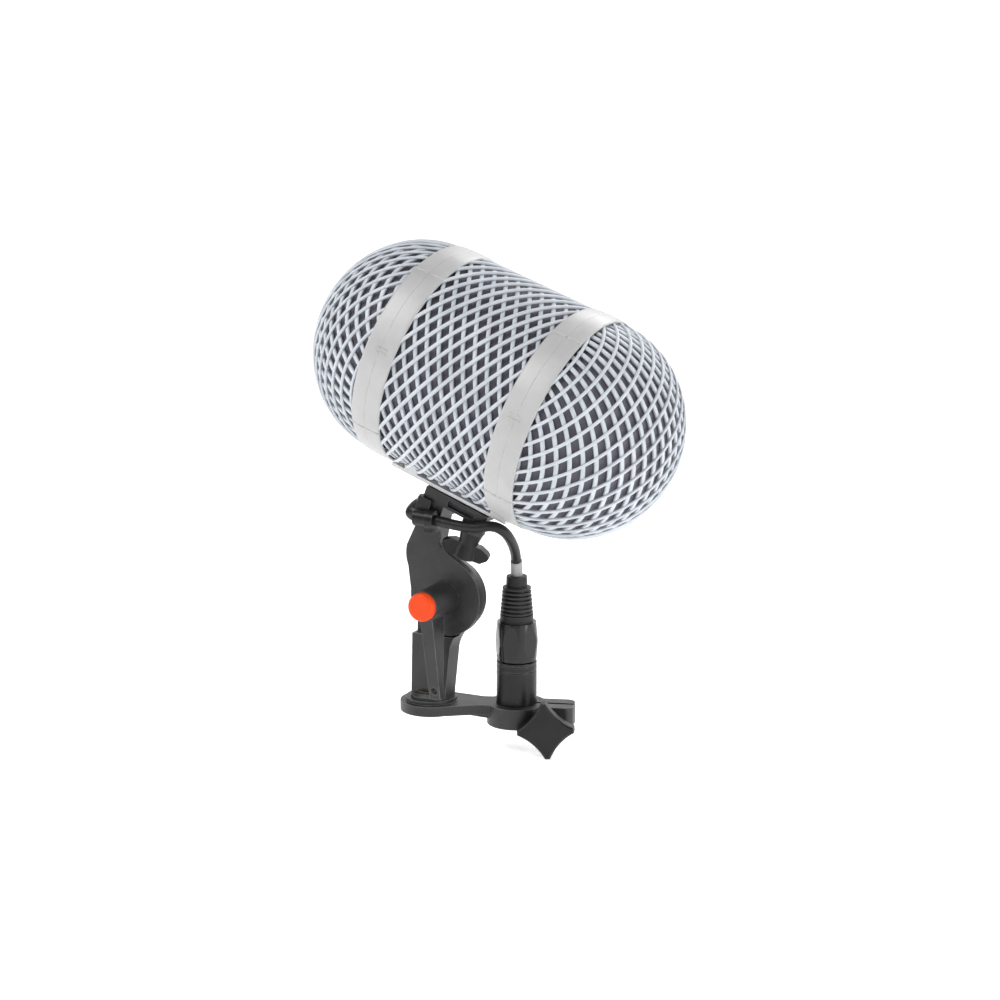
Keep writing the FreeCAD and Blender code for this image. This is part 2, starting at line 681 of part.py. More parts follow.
def make_pivot():
    half = lap_gap + washer_thickness / 2 - 0.05
    washer = rod(washer_radius, (pivot_x, -half, pivot_z), (pivot_x, half, pivot_z))
    washer = washer.cut(rod(pivot_bolt_radius + 0.1, (pivot_x, -2, pivot_z), (pivot_x, 2, pivot_z)))
    save("friction_washer", washer)
    bolt = rod(pivot_bolt_radius, (pivot_x, hub_face + 9.5, pivot_z), (pivot_x, stem_half_depth + 2.6, pivot_z))
    save("pivot_bolt", bolt)
    nut = Part.makePolygon([V(pivot_x + 5.2 * math.cos(math.radians(a)), stem_half_depth - 1.6,
                              pivot_z + 5.2 * math.sin(math.radians(a))) for a in range(0, 361, 60)])
    nut = Part.Face(nut).extrude(V(0, 3.8, 0))
    save("pivot_nut", nut.cut(rod(pivot_bolt_radius + 0.02, (pivot_x, -9, pivot_z), (pivot_x, 20, pivot_z))))


def make_lever():
    back = -arm_half_depth - lever_gap
    hub = cone(hub_base_radius, hub_tip_radius, (pivot_x, back, pivot_z), (pivot_x, hub_face, pivot_z))
    half_top = lever_top_width / 2
    half_end = lever_end_width / 2
    end_z = pivot_z - lever_length

    def section(half, front, rear, z):
        corners = [V(pivot_x - half, front, z), V(pivot_x + half, front, z),
                   V(pivot_x + half, rear, z), V(pivot_x - half, rear, z)]
        return Part.makePolygon(corners + corners[:1])

    handle = Part.makeLoft([section(half_top, hub_face + 1.4, back - 6.4, pivot_z - 1.0),
                            section(half_end, -14.0, back - 6.6, end_z)], True, True)
    lever = fused([hub, handle])
    lever = lever.cut(rod(1.7, (pivot_x, -30, end_z + 4.2), (pivot_x, 0, end_z + 4.2)))
    lever = lever.cut(rod(button_radius + button_clearance, (pivot_x, hub_face + 8.0, pivot_z),
                          (pivot_x, hub_face - 1, pivot_z)).cut(
        rod(1, (pivot_x, 50, pivot_z), (pivot_x, 51, pivot_z))))
    lever = lever.cut(rod(pivot_bolt_radius + pivot_clearance, (pivot_x, hub_face + 7, pivot_z),
                          (pivot_x, 5, pivot_z)))
    save("lever", lever)
    face = hub_face - button_proud
    button = fused([rod(button_radius, (pivot_x, face + 1.0, pivot_z), (pivot_x, hub_face + 3.6, pivot_z)),
                    cone(button_radius - 1.0, button_radius, (pivot_x, face, pivot_z), (pivot_x, face + 1.0, pivot_z))])
    pocket = rod(4.6, (pivot_x, hub_face + 1.0, pivot_z), (pivot_x, hub_face + 5, pivot_z))
    save("release_button", button.cut(pocket))
    turns = []
    wire_radius = 0.4
    spring_start = hub_face + 1.2
    spring_end = hub_face + 7.8
    count = 4
    pitch = (spring_end - spring_start) / count
    for turn in range(count):
        y = spring_start + pitch * (turn + 0.5)
        turns.append(Part.makeTorus(4.1, wire_radius, V(pivot_x, y, pivot_z), V(0, 1, 0)))
    save("lever_spring", Part.makeCompound(turns))


# ---- clip arm, connector, star knob ----

def make_clip_arm():
    top = arm_thickness
    low = top - clamp_ring_height
    plate = fused([
        rod(arm_round_radius, (0, 0, 0), (0, 0, top)),
        rod(foot_boss_radius, (0, 0, 0), (0, 0, top + foot_boss_height)),
    ])
    web_corners = [V(2, -arm_round_radius + 0.3, 0), V(24, -7.4, 0), V(connector_place, -8.4, 0),
                   V(connector_place, 8.4, 0), V(24, 7.4, 0), V(2, arm_round_radius - 0.3, 0)]
    web = Part.Face(Part.makePolygon(web_corners + web_corners[:1])).extrude(V(0, 0, top))
    ring = rod(clamp_ring_radius, (connector_place, 0, low), (connector_place, 0, top))
    half = ear_half_depth
    ears = fused([block((connector_place + 9, -half, low), (ear_end - 4.0, half, top)),
                  rod(4.0, (ear_end - 4.0, -half + 4.0, low), (ear_end - 4.0, -half + 4.0, top)),
                  rod(4.0, (ear_end - 4.0, half - 4.0, low), (ear_end - 4.0, half - 4.0, top)),
                  block((ear_end - 5.0, -half + 4.0, low), (ear_end, half - 4.0, top))])
    gusset = prism([(14.0, 0.1), (connector_place - 8.0, -gusset_drop), (connector_place - 8.0, 0.1)], -7.0, 7.0)
    clip = fused([plate, web, gusset, ring, ears])
    clip = clip.cut(rod(connector_radius + connector_clearance, (connector_place, 0, -30), (connector_place, 0, 30)))
    clip = clip.cut(block((connector_place + 5, -ear_slot / 2, -30), (ear_end + 5, ear_slot / 2, 30)))
    clip = clip.cut(rod(bush_radius, (0, 0, -1), (0, 0, 30)))
    clip = clip.cut(rod(clip_bolt_radius + 0.1, (clip_bolt_place, -30, -clip_bolt_drop),
                        (clip_bolt_place, 30, -clip_bolt_drop)))
    save("clip_arm", in_arm(clip))
    bush = fused([rod(bush_radius - 0.05, (0, 0, 0), (0, 0, thread_depth))])
    save("thread_bush", bush.cut(rod(thread_radius, (0, 0, -1), (0, 0, thread_depth - 0.8))))


def make_star_knob():
    front = -star_back - star_thickness
    bolt = rod(clip_bolt_radius, (clip_bolt_place, -star_back - 3.0, -clip_bolt_drop),
               (clip_bolt_place, ear_half_depth + 4.0, -clip_bolt_drop))
    save("clip_bolt", in_arm(bolt))
    nut = Part.makePolygon([V(clip_bolt_place + 4.0 * math.cos(math.radians(a)), ear_half_depth + 0.02,
                              -clip_bolt_drop + 4.0 * math.sin(math.radians(a))) for a in range(0, 361, 60)])
    nut = Part.Face(nut).extrude(V(0, 3.2, 0))
    nut = nut.cut(rod(clip_bolt_radius + 0.02, (clip_bolt_place, 0, -clip_bolt_drop),
                      (clip_bolt_place, 30, -clip_bolt_drop)))
    save("clip_nut", in_arm(nut))
    tip_half = 1.2
    reach = star_radius
    scoop = 6.2
    edges = []
    for quarter in range(4):
        turn = math.radians(90 * quarter)

        def point(x, z, turn=turn):
            return (x * math.cos(turn) - z * math.sin(turn), x * math.sin(turn) + z * math.cos(turn))

        edges.append(line(point(reach, -tip_half), point(reach, tip_half)))
        edges.append(arc(point(reach, tip_half), point(scoop, scoop), point(tip_half, reach)))
    star = outline_prism(edges, front, -star_back)
    star = star.makeChamfer(star_bevel, face_edges(star, front))
    hub = rod(4.0, (0, -star_back - 0.5, 0), (0, -ear_half_depth - 0.8, 0))
    star = fused([star, hub])
    star = star.cut(rod(clip_bolt_radius + pivot_clearance, (0, -star_back - 3.5, 0), (0, 10, 0)))
    star.rotate(V(0, 0, 0), V(0, 1, 0), -5)
    star.translate(V(clip_bolt_place, 0, -clip_bolt_drop))
    save("star_knob", in_arm(star))


def make_connector():
    x, y = connector_axis.x, connector_axis.y
    bottom = arm_thickness - clamp_ring_height - 0.4

    def column(radius, low, high):
        return rod(radius, (x, y, low), (x, y, high))

    shell = column(connector_radius, bottom, shell_top)
    for z in (shell_top - 4.2, shell_top - 1.4):
        shell = shell.cut(column(connector_radius + 1, z - 0.3, z + 0.3).cut(column(connector_radius - 0.35, z - 1, z + 1)))
    shell = shell.cut(column(8.1, bottom - 1, bottom + 15))
    shell = shell.cut(column(7.4, bottom + 14, shell_top + 1))
    save("connector_shell", shell)
    insert = column(7.3, bottom + 14, shell_top - 3)
    pins = []
    for angle in (180, 270, 90):
        px, py = around((x, y), pin_circle, angle)
        pin = rod(pin_radius, (px, py, bottom + 3.0), (px, py, bottom + 18.0))
        insert = insert.cut(rod(pin_radius + 0.02, (px, py, bottom + 10), (px, py, bottom + 18.0)))
        pins.append(pin)
    save("connector_insert", insert)
    save("connector_pins", Part.makeCompound(pins))
    core = column(7.2, shell_top - 2.6, nut_bottom + 6)
    core = core.cut(column(5.6, shell_top - 3, nut_bottom + 7))
    nut_mid = (nut_bottom + nut_top) / 2
    barrel = fused([cone(9.4, 10.1, (x, y, nut_bottom), (x, y, nut_mid)),
                    cone(10.1, 9.2, (x, y, nut_mid), (x, y, nut_top))])
    flats = [block((-12, 9.3, nut_bottom + 2), (12, 14, nut_top - 1)) for _ in range(6)]
    for index, flat in enumerate(flats):
        flat.rotate(V(0, 0, 0), V(0, 0, 1), 60 * index + 12)
        flat.translate(V(x, y, 0))
        barrel = barrel.cut(flat)
    barrel = barrel.cut(column(7.25, nut_bottom - 1, nut_top - 2))
    barrel = barrel.cut(column(6.6, nut_bottom - 1, nut_top + 1))
    save("connector_nut", barrel)
    save("chuck", core)
    neck = fused([column(6.5, nut_top - 8, nut_top + 0.1), column(7.8, nut_top, nut_top + 3.4),
                  cone(6.6, 4.9, (x, y, nut_top + 3.4), (x, y, boot_rib_top)),
                  cone(5.0, 4.8, (x, y, boot_rib_top - 0.1), (x, y, boot_top))])
    count = 7
    pitch = (boot_rib_top - nut_top - 3.4) / count
    for index in range(count):
        z = nut_top + 3.4 + pitch * (index + 0.5)
        radius = 7.7 - 0.17 * index
        neck = neck.fuse(column(radius, z - 0.45, z + 0.45))
    boot = neck.removeSplitter().cut(column(cable_radius + cable_fit, 0, boot_top + 5))
    save("cable_boot", boot)


def main():
    os.makedirs("parts", exist_ok=True)
    make_basket()
    make_rail()
    make_suspension()
    make_neck_arm()
    make_shoe()
    make_wing_knob()
    make_stem()
    make_pivot()
    make_lever()
    make_clip_arm()
    make_star_knob()
    make_connector()
    save("tail_cable_upper", cable("tail_cable_upper", upper_route, cable_radius))
    save("tail_cable_lower", cable("tail_cable_lower", lower_route, cable_radius))


main()
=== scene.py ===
# The windshield and its swivel mount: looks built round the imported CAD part.
import json
import math

import bmesh
import bpy
import numpy as np
from mathutils import Matrix, Vector


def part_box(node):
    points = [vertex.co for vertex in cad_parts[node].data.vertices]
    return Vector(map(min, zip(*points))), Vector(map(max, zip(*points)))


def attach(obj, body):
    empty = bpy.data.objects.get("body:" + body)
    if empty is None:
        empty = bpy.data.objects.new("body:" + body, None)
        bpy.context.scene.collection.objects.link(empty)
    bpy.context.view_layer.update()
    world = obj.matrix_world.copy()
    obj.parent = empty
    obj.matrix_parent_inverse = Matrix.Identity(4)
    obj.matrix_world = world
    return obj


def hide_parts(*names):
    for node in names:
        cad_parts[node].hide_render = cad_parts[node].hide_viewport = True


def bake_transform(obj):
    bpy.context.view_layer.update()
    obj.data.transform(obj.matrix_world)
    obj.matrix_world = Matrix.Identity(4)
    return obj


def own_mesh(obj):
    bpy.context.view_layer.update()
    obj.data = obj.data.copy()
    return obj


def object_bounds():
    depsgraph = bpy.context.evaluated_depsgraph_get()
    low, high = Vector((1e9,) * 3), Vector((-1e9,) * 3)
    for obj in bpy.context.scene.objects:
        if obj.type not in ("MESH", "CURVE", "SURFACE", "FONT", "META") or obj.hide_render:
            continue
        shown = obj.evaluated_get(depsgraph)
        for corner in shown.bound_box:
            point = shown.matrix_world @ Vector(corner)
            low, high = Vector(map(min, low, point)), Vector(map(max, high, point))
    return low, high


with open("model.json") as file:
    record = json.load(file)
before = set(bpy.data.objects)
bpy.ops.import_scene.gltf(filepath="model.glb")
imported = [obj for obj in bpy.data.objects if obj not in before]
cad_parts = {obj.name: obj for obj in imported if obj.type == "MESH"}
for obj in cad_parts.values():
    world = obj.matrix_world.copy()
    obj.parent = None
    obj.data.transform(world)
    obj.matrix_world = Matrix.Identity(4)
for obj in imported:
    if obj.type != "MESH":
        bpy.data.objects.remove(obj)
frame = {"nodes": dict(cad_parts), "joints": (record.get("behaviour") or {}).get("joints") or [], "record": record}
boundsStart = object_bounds()
nodes = frame["nodes"]
record = frame["record"]
joints = {joint["name"]: joint for joint in frame["joints"]}
nodeBody = {node: body for body, names in record["behaviour"]["bodies"].items() for node in names}
slotOf = {part["node"]: part["material_slot"] for part in record["subparts"]}
mm = 0.001


def middle(node):
    low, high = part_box(node)
    return (low + high) / 2


# basket axes: along to the nose, across to the far side, up away from the mount
along = Vector(joints["basket_slide"]["axis"]).normalized()
across = Vector((0, 1, 0))
up = along.cross(across).normalized()
basketMiddle = middle("centre_basket")
basket = Matrix((
    (along.x, across.x, up.x, basketMiddle.x),
    (along.y, across.y, up.y, basketMiddle.y),
    (along.z, across.z, up.z, basketMiddle.z),
    (0, 0, 0, 1)))

print("stage: frame loaded")


# node graphs
class Value:
    # a socket that can be added, multiplied and so on
    def __init__(self, graph, socket):
        self.graph, self.socket = graph, socket

    def maths(self, operation, *others):
        made = self.graph.tree.nodes.new("ShaderNodeMath")
        made.operation = operation
        for place, value in enumerate((self, *others)):
            self.graph.feed(made.inputs[place], value)
        return Value(self.graph, made.outputs[0])

    def __add__(self, other):
        return self.maths("ADD", other)

    def __radd__(self, other):
        return self.maths("ADD", other)

    def __sub__(self, other):
        return self.maths("SUBTRACT", other)

    def __rsub__(self, other):
        return (self * -1.0) + other

    def __mul__(self, other):
        return self.maths("MULTIPLY", other)

    def __rmul__(self, other):
        return self.maths("MULTIPLY", other)

    def __truediv__(self, other):
        return self.maths("DIVIDE", other)

    def sine(self):
        return self.maths("SINE")

    def span(self, fromLow, fromHigh, toLow=0.0, toHigh=1.0):
        return self.graph.node("ShaderNodeMapRange", {"clamp": True}, {
            "Value": self, "From Min": fromLow, "From Max": fromHigh, "To Min": toLow, "To Max": toHigh})


class Graph:
    def __init__(self, tree):
        self.tree = tree

    def feed(self, socket, value):
        if isinstance(value, Value):
            self.tree.links.new(value.socket, socket)
        else:
            socket.default_value = value

    def node(self, kind, settings=None, inputs=None, output=0):
        made = self.tree.nodes.new(kind)
        for key, value in (settings or {}).items():
            setattr(made, key, value)
        for key, value in (inputs or {}).items():
            self.feed(made.inputs[key], value)
        return Value(self, made.outputs[output])

    def mix(self, factor, a, b):
        made = self.tree.nodes.new("ShaderNodeMix")
        made.data_type = "RGBA"
        for place, value in ((0, factor), (6, a), (7, b)):
            self.feed(made.inputs[place], value)
        return Value(self, made.outputs[2])


def newMaterial(name):
    material = bpy.data.materials.new(name)
    material.use_nodes = True
    material.node_tree.nodes.clear()
    graph = Graph(material.node_tree)
    shader = graph.tree.nodes.new("ShaderNodeBsdfPrincipled")
    out = graph.tree.nodes.new("ShaderNodeOutputMaterial")
    graph.tree.links.new(shader.outputs[0], out.inputs["Surface"])
    return material, graph, shader


def tone(colour, factor):
    return tuple(min(1.0, part * factor) for part in colour[:3]) + (1.0,)


# colour, roughness, grain per metre, grain height in mm, mottle share, share of worn edges lightened with a
# painted edge highlight
finishes = {
    "net": dict(colour=(0.50, 0.53, 0.57, 1), rough=0.46, grain=2600, height=0.05, mottle=0.10,
                edge_wear_and_highlight=0.0),
    "band": dict(colour=(0.41, 0.41, 0.41, 1), rough=0.42, grain=3800, height=0.05, mottle=0.06,
                 edge_wear_and_highlight=0.12, coat=0.1),
    "rail_metal": dict(colour=(0.68, 0.68, 0.69, 1), rough=0.42, grain=5000, height=0.04,
                       mottle=0.05, edge_wear_and_highlight=0.1, brushed=True),
    "screw_steel": dict(colour=(0.20, 0.20, 0.21, 1), rough=0.35, grain=5000, height=0.04,
                        mottle=0.15, edge_wear_and_highlight=0.3, metal=0.85),
    "bar_plastic": dict(colour=(0.016, 0.016, 0.017, 1), rough=0.5, grain=4200, height=0.10,
                        mottle=0.2, edge_wear_and_highlight=0.2),
    "lyre_plastic": dict(colour=(0.05, 0.05, 0.055, 1), rough=0.4, grain=3000, height=0.05,
                         mottle=0.1, edge_wear_and_highlight=0.1),
    "cast_black": dict(colour=(0.017, 0.017, 0.018, 1), rough=0.42, grain=2000, height=0.40,
                       mottle=0.45, edge_wear_and_highlight=0.55, shine=0.42),
    "clamp_plastic": dict(colour=(0.007, 0.007, 0.007, 1), rough=0.34, grain=3200, height=0.08,
                          mottle=0.2, edge_wear_and_highlight=0.25, shine=0.3),
    "knob_plastic": dict(colour=(0.009, 0.009, 0.009, 1), rough=0.40, grain=2600, height=0.20,
                         mottle=0.3, edge_wear_and_highlight=0.4, shine=0.25),
    "washer_fibre": dict(colour=(0.10, 0.07, 0.05, 1), rough=0.8, grain=5000, height=0.2,
                         mottle=0.4, edge_wear_and_highlight=0.0),
    "button_orange": dict(colour=(0.72, 0.055, 0.003, 1), rough=0.42, grain=2600, height=0.03,
                          mottle=0.08, edge_wear_and_highlight=0.10, shine=0.25),
    "bush_brass": dict(colour=(0.09, 0.07, 0.045, 1), rough=0.45, grain=4000, height=0.04,
                       mottle=0.15, edge_wear_and_highlight=0.2, metal=1.0),
    "shell_black": dict(colour=(0.007, 0.007, 0.007, 1), rough=0.34, grain=4200, height=0.10,
                        mottle=0.2, edge_wear_and_highlight=0.3, shine=0.3),
    "nut_gloss": dict(colour=(0.006, 0.006, 0.006, 1), rough=0.2, grain=2400, height=0.03,
                      mottle=0.1, edge_wear_and_highlight=0.15, coat=0.15, shine=0.3),
    "insert_black": dict(colour=(0.02, 0.02, 0.02, 1), rough=0.5, grain=3000, height=0.05,
                         mottle=0.1, edge_wear_and_highlight=0.1),
    "pin_gold": dict(colour=(0.75, 0.53, 0.22, 1), rough=0.22, grain=4000, height=0.02, mottle=0.05,
                     edge_wear_and_highlight=0.1, metal=1.0),
    "boot_rubber": dict(colour=(0.012, 0.012, 0.012, 1), rough=0.50, grain=3400, height=0.10,
                        mottle=0.2, edge_wear_and_highlight=0.15, shine=0.3),
    "cable_rubber": dict(colour=(0.009, 0.009, 0.009, 1), rough=0.40, grain=3000, height=0.07,
                         mottle=0.2, edge_wear_and_highlight=0.1, shine=0.3),
    "sleeve_grey": dict(colour=(0.30, 0.30, 0.30, 1), rough=0.55, grain=3000, height=0.07,
                        mottle=0.15, edge_wear_and_highlight=0.0),
}


def finishMaterial(name, colour, rough, grain, height, mottle, edge_wear_and_highlight, metal=0.0, coat=0.0, brushed=False,
                   shine=0.5):
    material, graph, shader = newMaterial(name)
    place = graph.node("ShaderNodeTexCoord", output=3)
    fine = graph.node("ShaderNodeTexNoise", {"noise_dimensions": "3D"},
                      {"Vector": place, "Scale": float(grain), "Detail": 3.0, "Roughness": 0.6})
    broad = graph.node("ShaderNodeTexNoise", {"noise_dimensions": "3D"},
                       {"Vector": place, "Scale": 90.0, "Detail": 4.0, "Roughness": 0.55})
    patches = broad.span(0.3, 0.7, -1.0, 1.0)
    base = graph.mix(patches * 0.5 + 0.5, tone(colour, 1 - mottle), tone(colour, 1 + mottle))
    specks = fine.span(0.45, 0.75)
    base = graph.mix(specks * mottle, base, tone(colour, 1.8))
    # edges found from the bevel normals are lightened: worn edges together with a painted edge highlight
    if edge_wear_and_highlight:
        sharp = graph.node("ShaderNodeNewGeometry", output=1)
        rounded = graph.node("ShaderNodeBevel", {"samples": 4}, {"Radius": 0.7 * mm})
        alike = graph.node("ShaderNodeVectorMath", {"operation": "DOT_PRODUCT"},
                           {0: sharp, 1: rounded}, output=1)
        edge = (1.0 - alike).span(0.01, 0.14) * broad.span(0.35, 0.65, 0.3, 1.0)
        base = graph.mix(edge * edge_wear_and_highlight, base, tone(tuple(part + 0.09 for part in colour[:3]), 2.8))
        roughness = patches * 0.05 + specks * 0.05 + edge * -0.08 + rough
    else:
        roughness = patches * 0.05 + specks * 0.05 + rough
    if brushed:
        stretched = graph.node("ShaderNodeMapping", {}, {"Vector": place, "Scale": (120.0, 9000.0, 120.0)})
        lines = graph.node("ShaderNodeTexNoise", {}, {"Vector": stretched, "Scale": 1.0, "Detail": 2.0})
        roughness = roughness + lines.span(0.3, 0.7, -0.08, 0.08)
    bump = graph.node("ShaderNodeBump", {}, {"Height": fine, "Strength": min(1.0, height * 2.2),
                                             "Distance": height * 0.25 * mm})
    graph.feed(shader.inputs["Base Color"], base)
    graph.feed(shader.inputs["Roughness"], roughness)
    graph.feed(shader.inputs["Normal"], bump)
    shader.inputs["Metallic"].default_value = metal
    shader.inputs["Coat Weight"].default_value = coat
    shader.inputs["Coat Roughness"].default_value = 0.25
    shader.inputs["Specular IOR Level"].default_value = shine
    return material


fabric = dict(colour=(0.090, 0.086, 0.108, 1), light=(0.20, 0.195, 0.23, 1), thread=0.42 * mm)


def fabricMaterial(name):
    # a knitted grey lining: two crossed thread waves with fuzz
    material, graph, shader = newMaterial(name)
    place = graph.node("ShaderNodeTexCoord", output=3)
    turned = graph.node("ShaderNodeMapping", {}, {
        "Vector": place, "Rotation": (0.0, -math.asin(-along.z), 0.0)})
    parts = graph.tree.nodes.new("ShaderNodeSeparateXYZ")
    graph.feed(parts.inputs[0], turned)
    x, y, z = (Value(graph, parts.outputs[place]) for place in range(3))
    angle = y.maths("ARCTAN2", z)
    fuzz = graph.node("ShaderNodeTexNoise", {}, {"Vector": place, "Scale": 2200.0, "Detail": 3.0})
    cloud = graph.node("ShaderNodeTexNoise", {}, {"Vector": place, "Scale": 160.0, "Detail": 3.0})
    turn = 2 * math.pi / fabric["thread"]
    weave = (x * turn + fuzz * 2.0).sine() * (angle * 0.048 * turn + fuzz * 2.0).sine()
    lit = weave.span(-1.0, 1.0) * 0.6 + fuzz * 0.5
    base = graph.mix(lit.span(0.2, 1.0), fabric["colour"], fabric["light"])
    base = graph.mix(cloud.span(0.3, 0.7, 0.0, 0.35), base, tone(fabric["colour"], 0.6))
    bump = graph.node("ShaderNodeBump", {}, {"Height": lit, "Strength": 0.7, "Distance": 0.12 * mm})
    graph.feed(shader.inputs["Base Color"], base)
    graph.feed(shader.inputs["Roughness"], cloud.span(0.2, 0.8, 0.82, 0.95))
    graph.feed(shader.inputs["Normal"], bump)
    shader.inputs["Sheen Weight"].default_value = 0.25
    shader.inputs["Sheen Roughness"].default_value = 0.5
    return material


materials = {name: finishMaterial(name, **values) for name, values in finishes.items()}
materials["lining"] = fabricMaterial("lining")
print("stage: materials")


# mesh helpers
def addObject(name, mesh):
    made = bpy.data.objects.new(name, mesh)
    bpy.context.scene.collection.objects.link(made)
    return made


def smoothByAngle(mesh, degrees=38):
    # smooth shading with sharp edges kept above an angle
    work = bmesh.new()
    work.from_mesh(mesh)
    for face in work.faces:
        face.smooth = True
    for edge in work.edges:
        if len(edge.link_faces) == 2:
            edge.smooth = edge.calc_face_angle(0) < math.radians(degrees)
    work.to_mesh(mesh)
    work.free()


def settle(piece, body, slot, replaced=()):
    piece.data.materials.clear()
    piece.data.materials.append(materials[slot])
    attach(piece, body)
    if replaced:
        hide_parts(*replaced)
    return piece


def cadCopy(node):
    # a clean working copy of a CAD node's mesh
    work = bmesh.new()
    work.from_mesh(nodes[node].data)
    bmesh.ops.remove_doubles(work, verts=work.verts, dist=1e-6)
    bmesh.ops.dissolve_limit(work, angle_limit=math.radians(0.6), verts=work.verts, edges=work.edges)
    return work


def bevelled(node, width, degrees=32, segments=2):
    # the CAD node with its hard edges rounded
    work = cadCopy(node)
    hard = [edge for edge in work.edges
            if len(edge.link_faces) == 2 and edge.calc_face_angle(0) > math.radians(degrees)]
    bmesh.ops.bevel(work, geom=hard, offset=width, offset_type="OFFSET", segments=segments, profile=0.5,
                    affect="EDGES", clamp_overlap=True, miter_outer="ARC")
    bmesh.ops.triangulate(work, faces=[face for face in work.faces if len(face.verts) > 4])
    bmesh.ops.remove_doubles(work, verts=work.verts, dist=1e-6)
    mesh = bpy.data.meshes.new(node + "Look")
    work.to_mesh(mesh)
    work.free()
    smoothByAngle(mesh)
    piece = addObject(node + "Look", mesh)
    modifier = piece.modifiers.new("normals", "WEIGHTED_NORMAL")
    modifier.keep_sharp = True
    return settle(piece, nodeBody[node], slotOf[node], [node])


# rounding of hard edges per node, in mm
edgeWidth = {
    "neck_arm": 0.55, "stem": 0.55, "clip_arm": 0.8, "lever": 0.45, "shoe": 0.45, "cable_clamp": 0.3,
    "clamp_stud": 0.25, "wing_knob": 0.35, "release_button": 0.55, "star_knob": 0.35, "connector_shell": 0.3,
    "connector_nut": 0.25, "cable_boot": 0.25, "rail": 0.18, "suspension_bar": 0.4, "clip_nut": 0.25,
    "pivot_nut": 0.25, "chuck": 0.2, "inner_plug": 0.3, "cable_grommet": 0.3, "front_mic_clip": 0.3,
    "rear_mic_clip": 0.3, "front_lyre": 0.2, "rear_lyre": 0.2, "clamp_screw": 0.2, "clip_bolt": 0.2,
}
for node, width in edgeWidth.items():
    bevelled(node, width * mm)
for node, shape in nodes.items():
    if not shape.hide_render:
        shape.data.materials.clear()
        shape.data.materials.append(materials[slotOf[node]])

# the return spring, copied with a mesh of its own; on the object it shortens as the button goes in
spring = addObject("leverSpringLook", nodes["lever_spring"].data.copy())
settle(spring, nodeBody["lever_spring"], slotOf["lever_spring"], ["lever_spring"])
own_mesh(spring)
print("stage: cast and moulded pieces")


# basket net
net = dict(
    # centre: strands per hand, radians of turn per metre, radii and bar sizes in mm
    strands=28, lean=35.5, outerRadius=50.15, innerRadius=48.95, reach=30.2,
    outerWidth=1.75, innerWidth=1.95, thickness=1.5,
    # domes: radius, start and lengths in mm, planes per side, last plane angle, points per half turn
    domeRadius=50.0, domeStart=43.15, frontLength=48.0, rearLength=46.4,
    reachPlanes=14, lastPlane=83, domeSteps=96, domeFoot=0.045, domeTuck=1.5)


def sweepTree():
    # mesh lines swept with a rounded bar and repeated round the X axis
    tree = bpy.data.node_groups.new("strandSweep", "GeometryNodeTree")
    face = tree.interface
    face.new_socket("Geometry", in_out="INPUT", socket_type="NodeSocketGeometry")
    for name, kind in (("Width", "NodeSocketFloat"), ("Thickness", "NodeSocketFloat"),
                       ("Round", "NodeSocketFloat"), ("Count", "NodeSocketInt"),
                       ("Material", "NodeSocketMaterial")):
        face.new_socket(name, in_out="INPUT", socket_type=kind)
    face.new_socket("Geometry", in_out="OUTPUT", socket_type="NodeSocketGeometry")
    graph = Graph(tree)
    entry = tree.nodes.new("NodeGroupInput")
    given = {socket.name: Value(graph, socket) for socket in entry.outputs if socket.name}
    curve = graph.node("GeometryNodeMeshToCurve", {}, {"Mesh": given["Geometry"]})
    outward = graph.node("GeometryNodeInputNamedAttribute", {"data_type": "FLOAT_VECTOR"},
                         {"Name": "outward"})
    curve = graph.node("GeometryNodeSetCurveNormal", {"mode": "FREE"}, {"Curve": curve, "Normal": outward})
    section = graph.node("GeometryNodeCurvePrimitiveQuadrilateral", {"mode": "RECTANGLE"},
                         {"Width": given["Thickness"], "Height": given["Width"]})
    section = graph.node("GeometryNodeFilletCurve", {"mode": "POLY"},
                         {"Curve": section, "Count": 2, "Radius": given["Thickness"] * given["Round"],
                          "Limit Radius": True})
    bars = graph.node("GeometryNodeCurveToMesh", {}, {
        "Curve": curve, "Profile Curve": section, "Fill Caps": True})
    points = graph.node("GeometryNodePoints", {}, {"Count": given["Count"]})
    index = graph.node("GeometryNodeInputIndex")
    turn = graph.node("ShaderNodeCombineXYZ", {}, {"X": index * (2 * math.pi) / given["Count"]})
    copies = graph.node("GeometryNodeInstanceOnPoints", {}, {
        "Points": points, "Instance": bars, "Rotation": turn})
    real = graph.node("GeometryNodeRealizeInstances", {}, {"Geometry": copies})
    real = graph.node("GeometryNodeSetShadeSmooth", {}, {"Geometry": real})
    done = graph.node("GeometryNodeSetMaterial", {}, {"Geometry": real, "Material": given["Material"]})
    leave = tree.nodes.new("NodeGroupOutput")
    tree.links.new(done.socket, leave.inputs[0])
    return tree


strandSweep = sweepTree()


def sweepLines(name, lines, width, thickness, roundness, count):
    # lines: lists of (point, outward) in basket axes; returns a plain mesh in world axes
    points, outwards, edges = [], [], []
    for line in lines:
        first = len(points)
        for point, outward in line:
            points.append(point)
            outwards.append(outward)
        edges += [(first + step, first + step + 1) for step in range(len(line) - 1)]
    mesh = bpy.data.meshes.new(name + "Lines")
    mesh.from_pydata([tuple(point) for point in points], edges, [])
    layer = mesh.attributes.new("outward", "FLOAT_VECTOR", "POINT")
    layer.data.foreach_set("vector", np.array(outwards, np.float32).ravel())
    source = addObject(name + "Source", mesh)
    modifier = source.modifiers.new("sweep", "NODES")
    modifier.node_group = strandSweep
    ids = {item.name: item.identifier for item in strandSweep.interface.items_tree if item.in_out == "INPUT"}
    modifier[ids["Width"]] = width
    modifier[ids["Thickness"]] = thickness
    modifier[ids["Round"]] = roundness
    modifier[ids["Count"]] = count
    modifier[ids["Material"]] = materials["net"]
    graph = bpy.context.evaluated_depsgraph_get()
    made = bpy.data.meshes.new_from_object(source.evaluated_get(graph), depsgraph=graph)
    bpy.data.objects.remove(source)
    made.transform(basket)
    return made


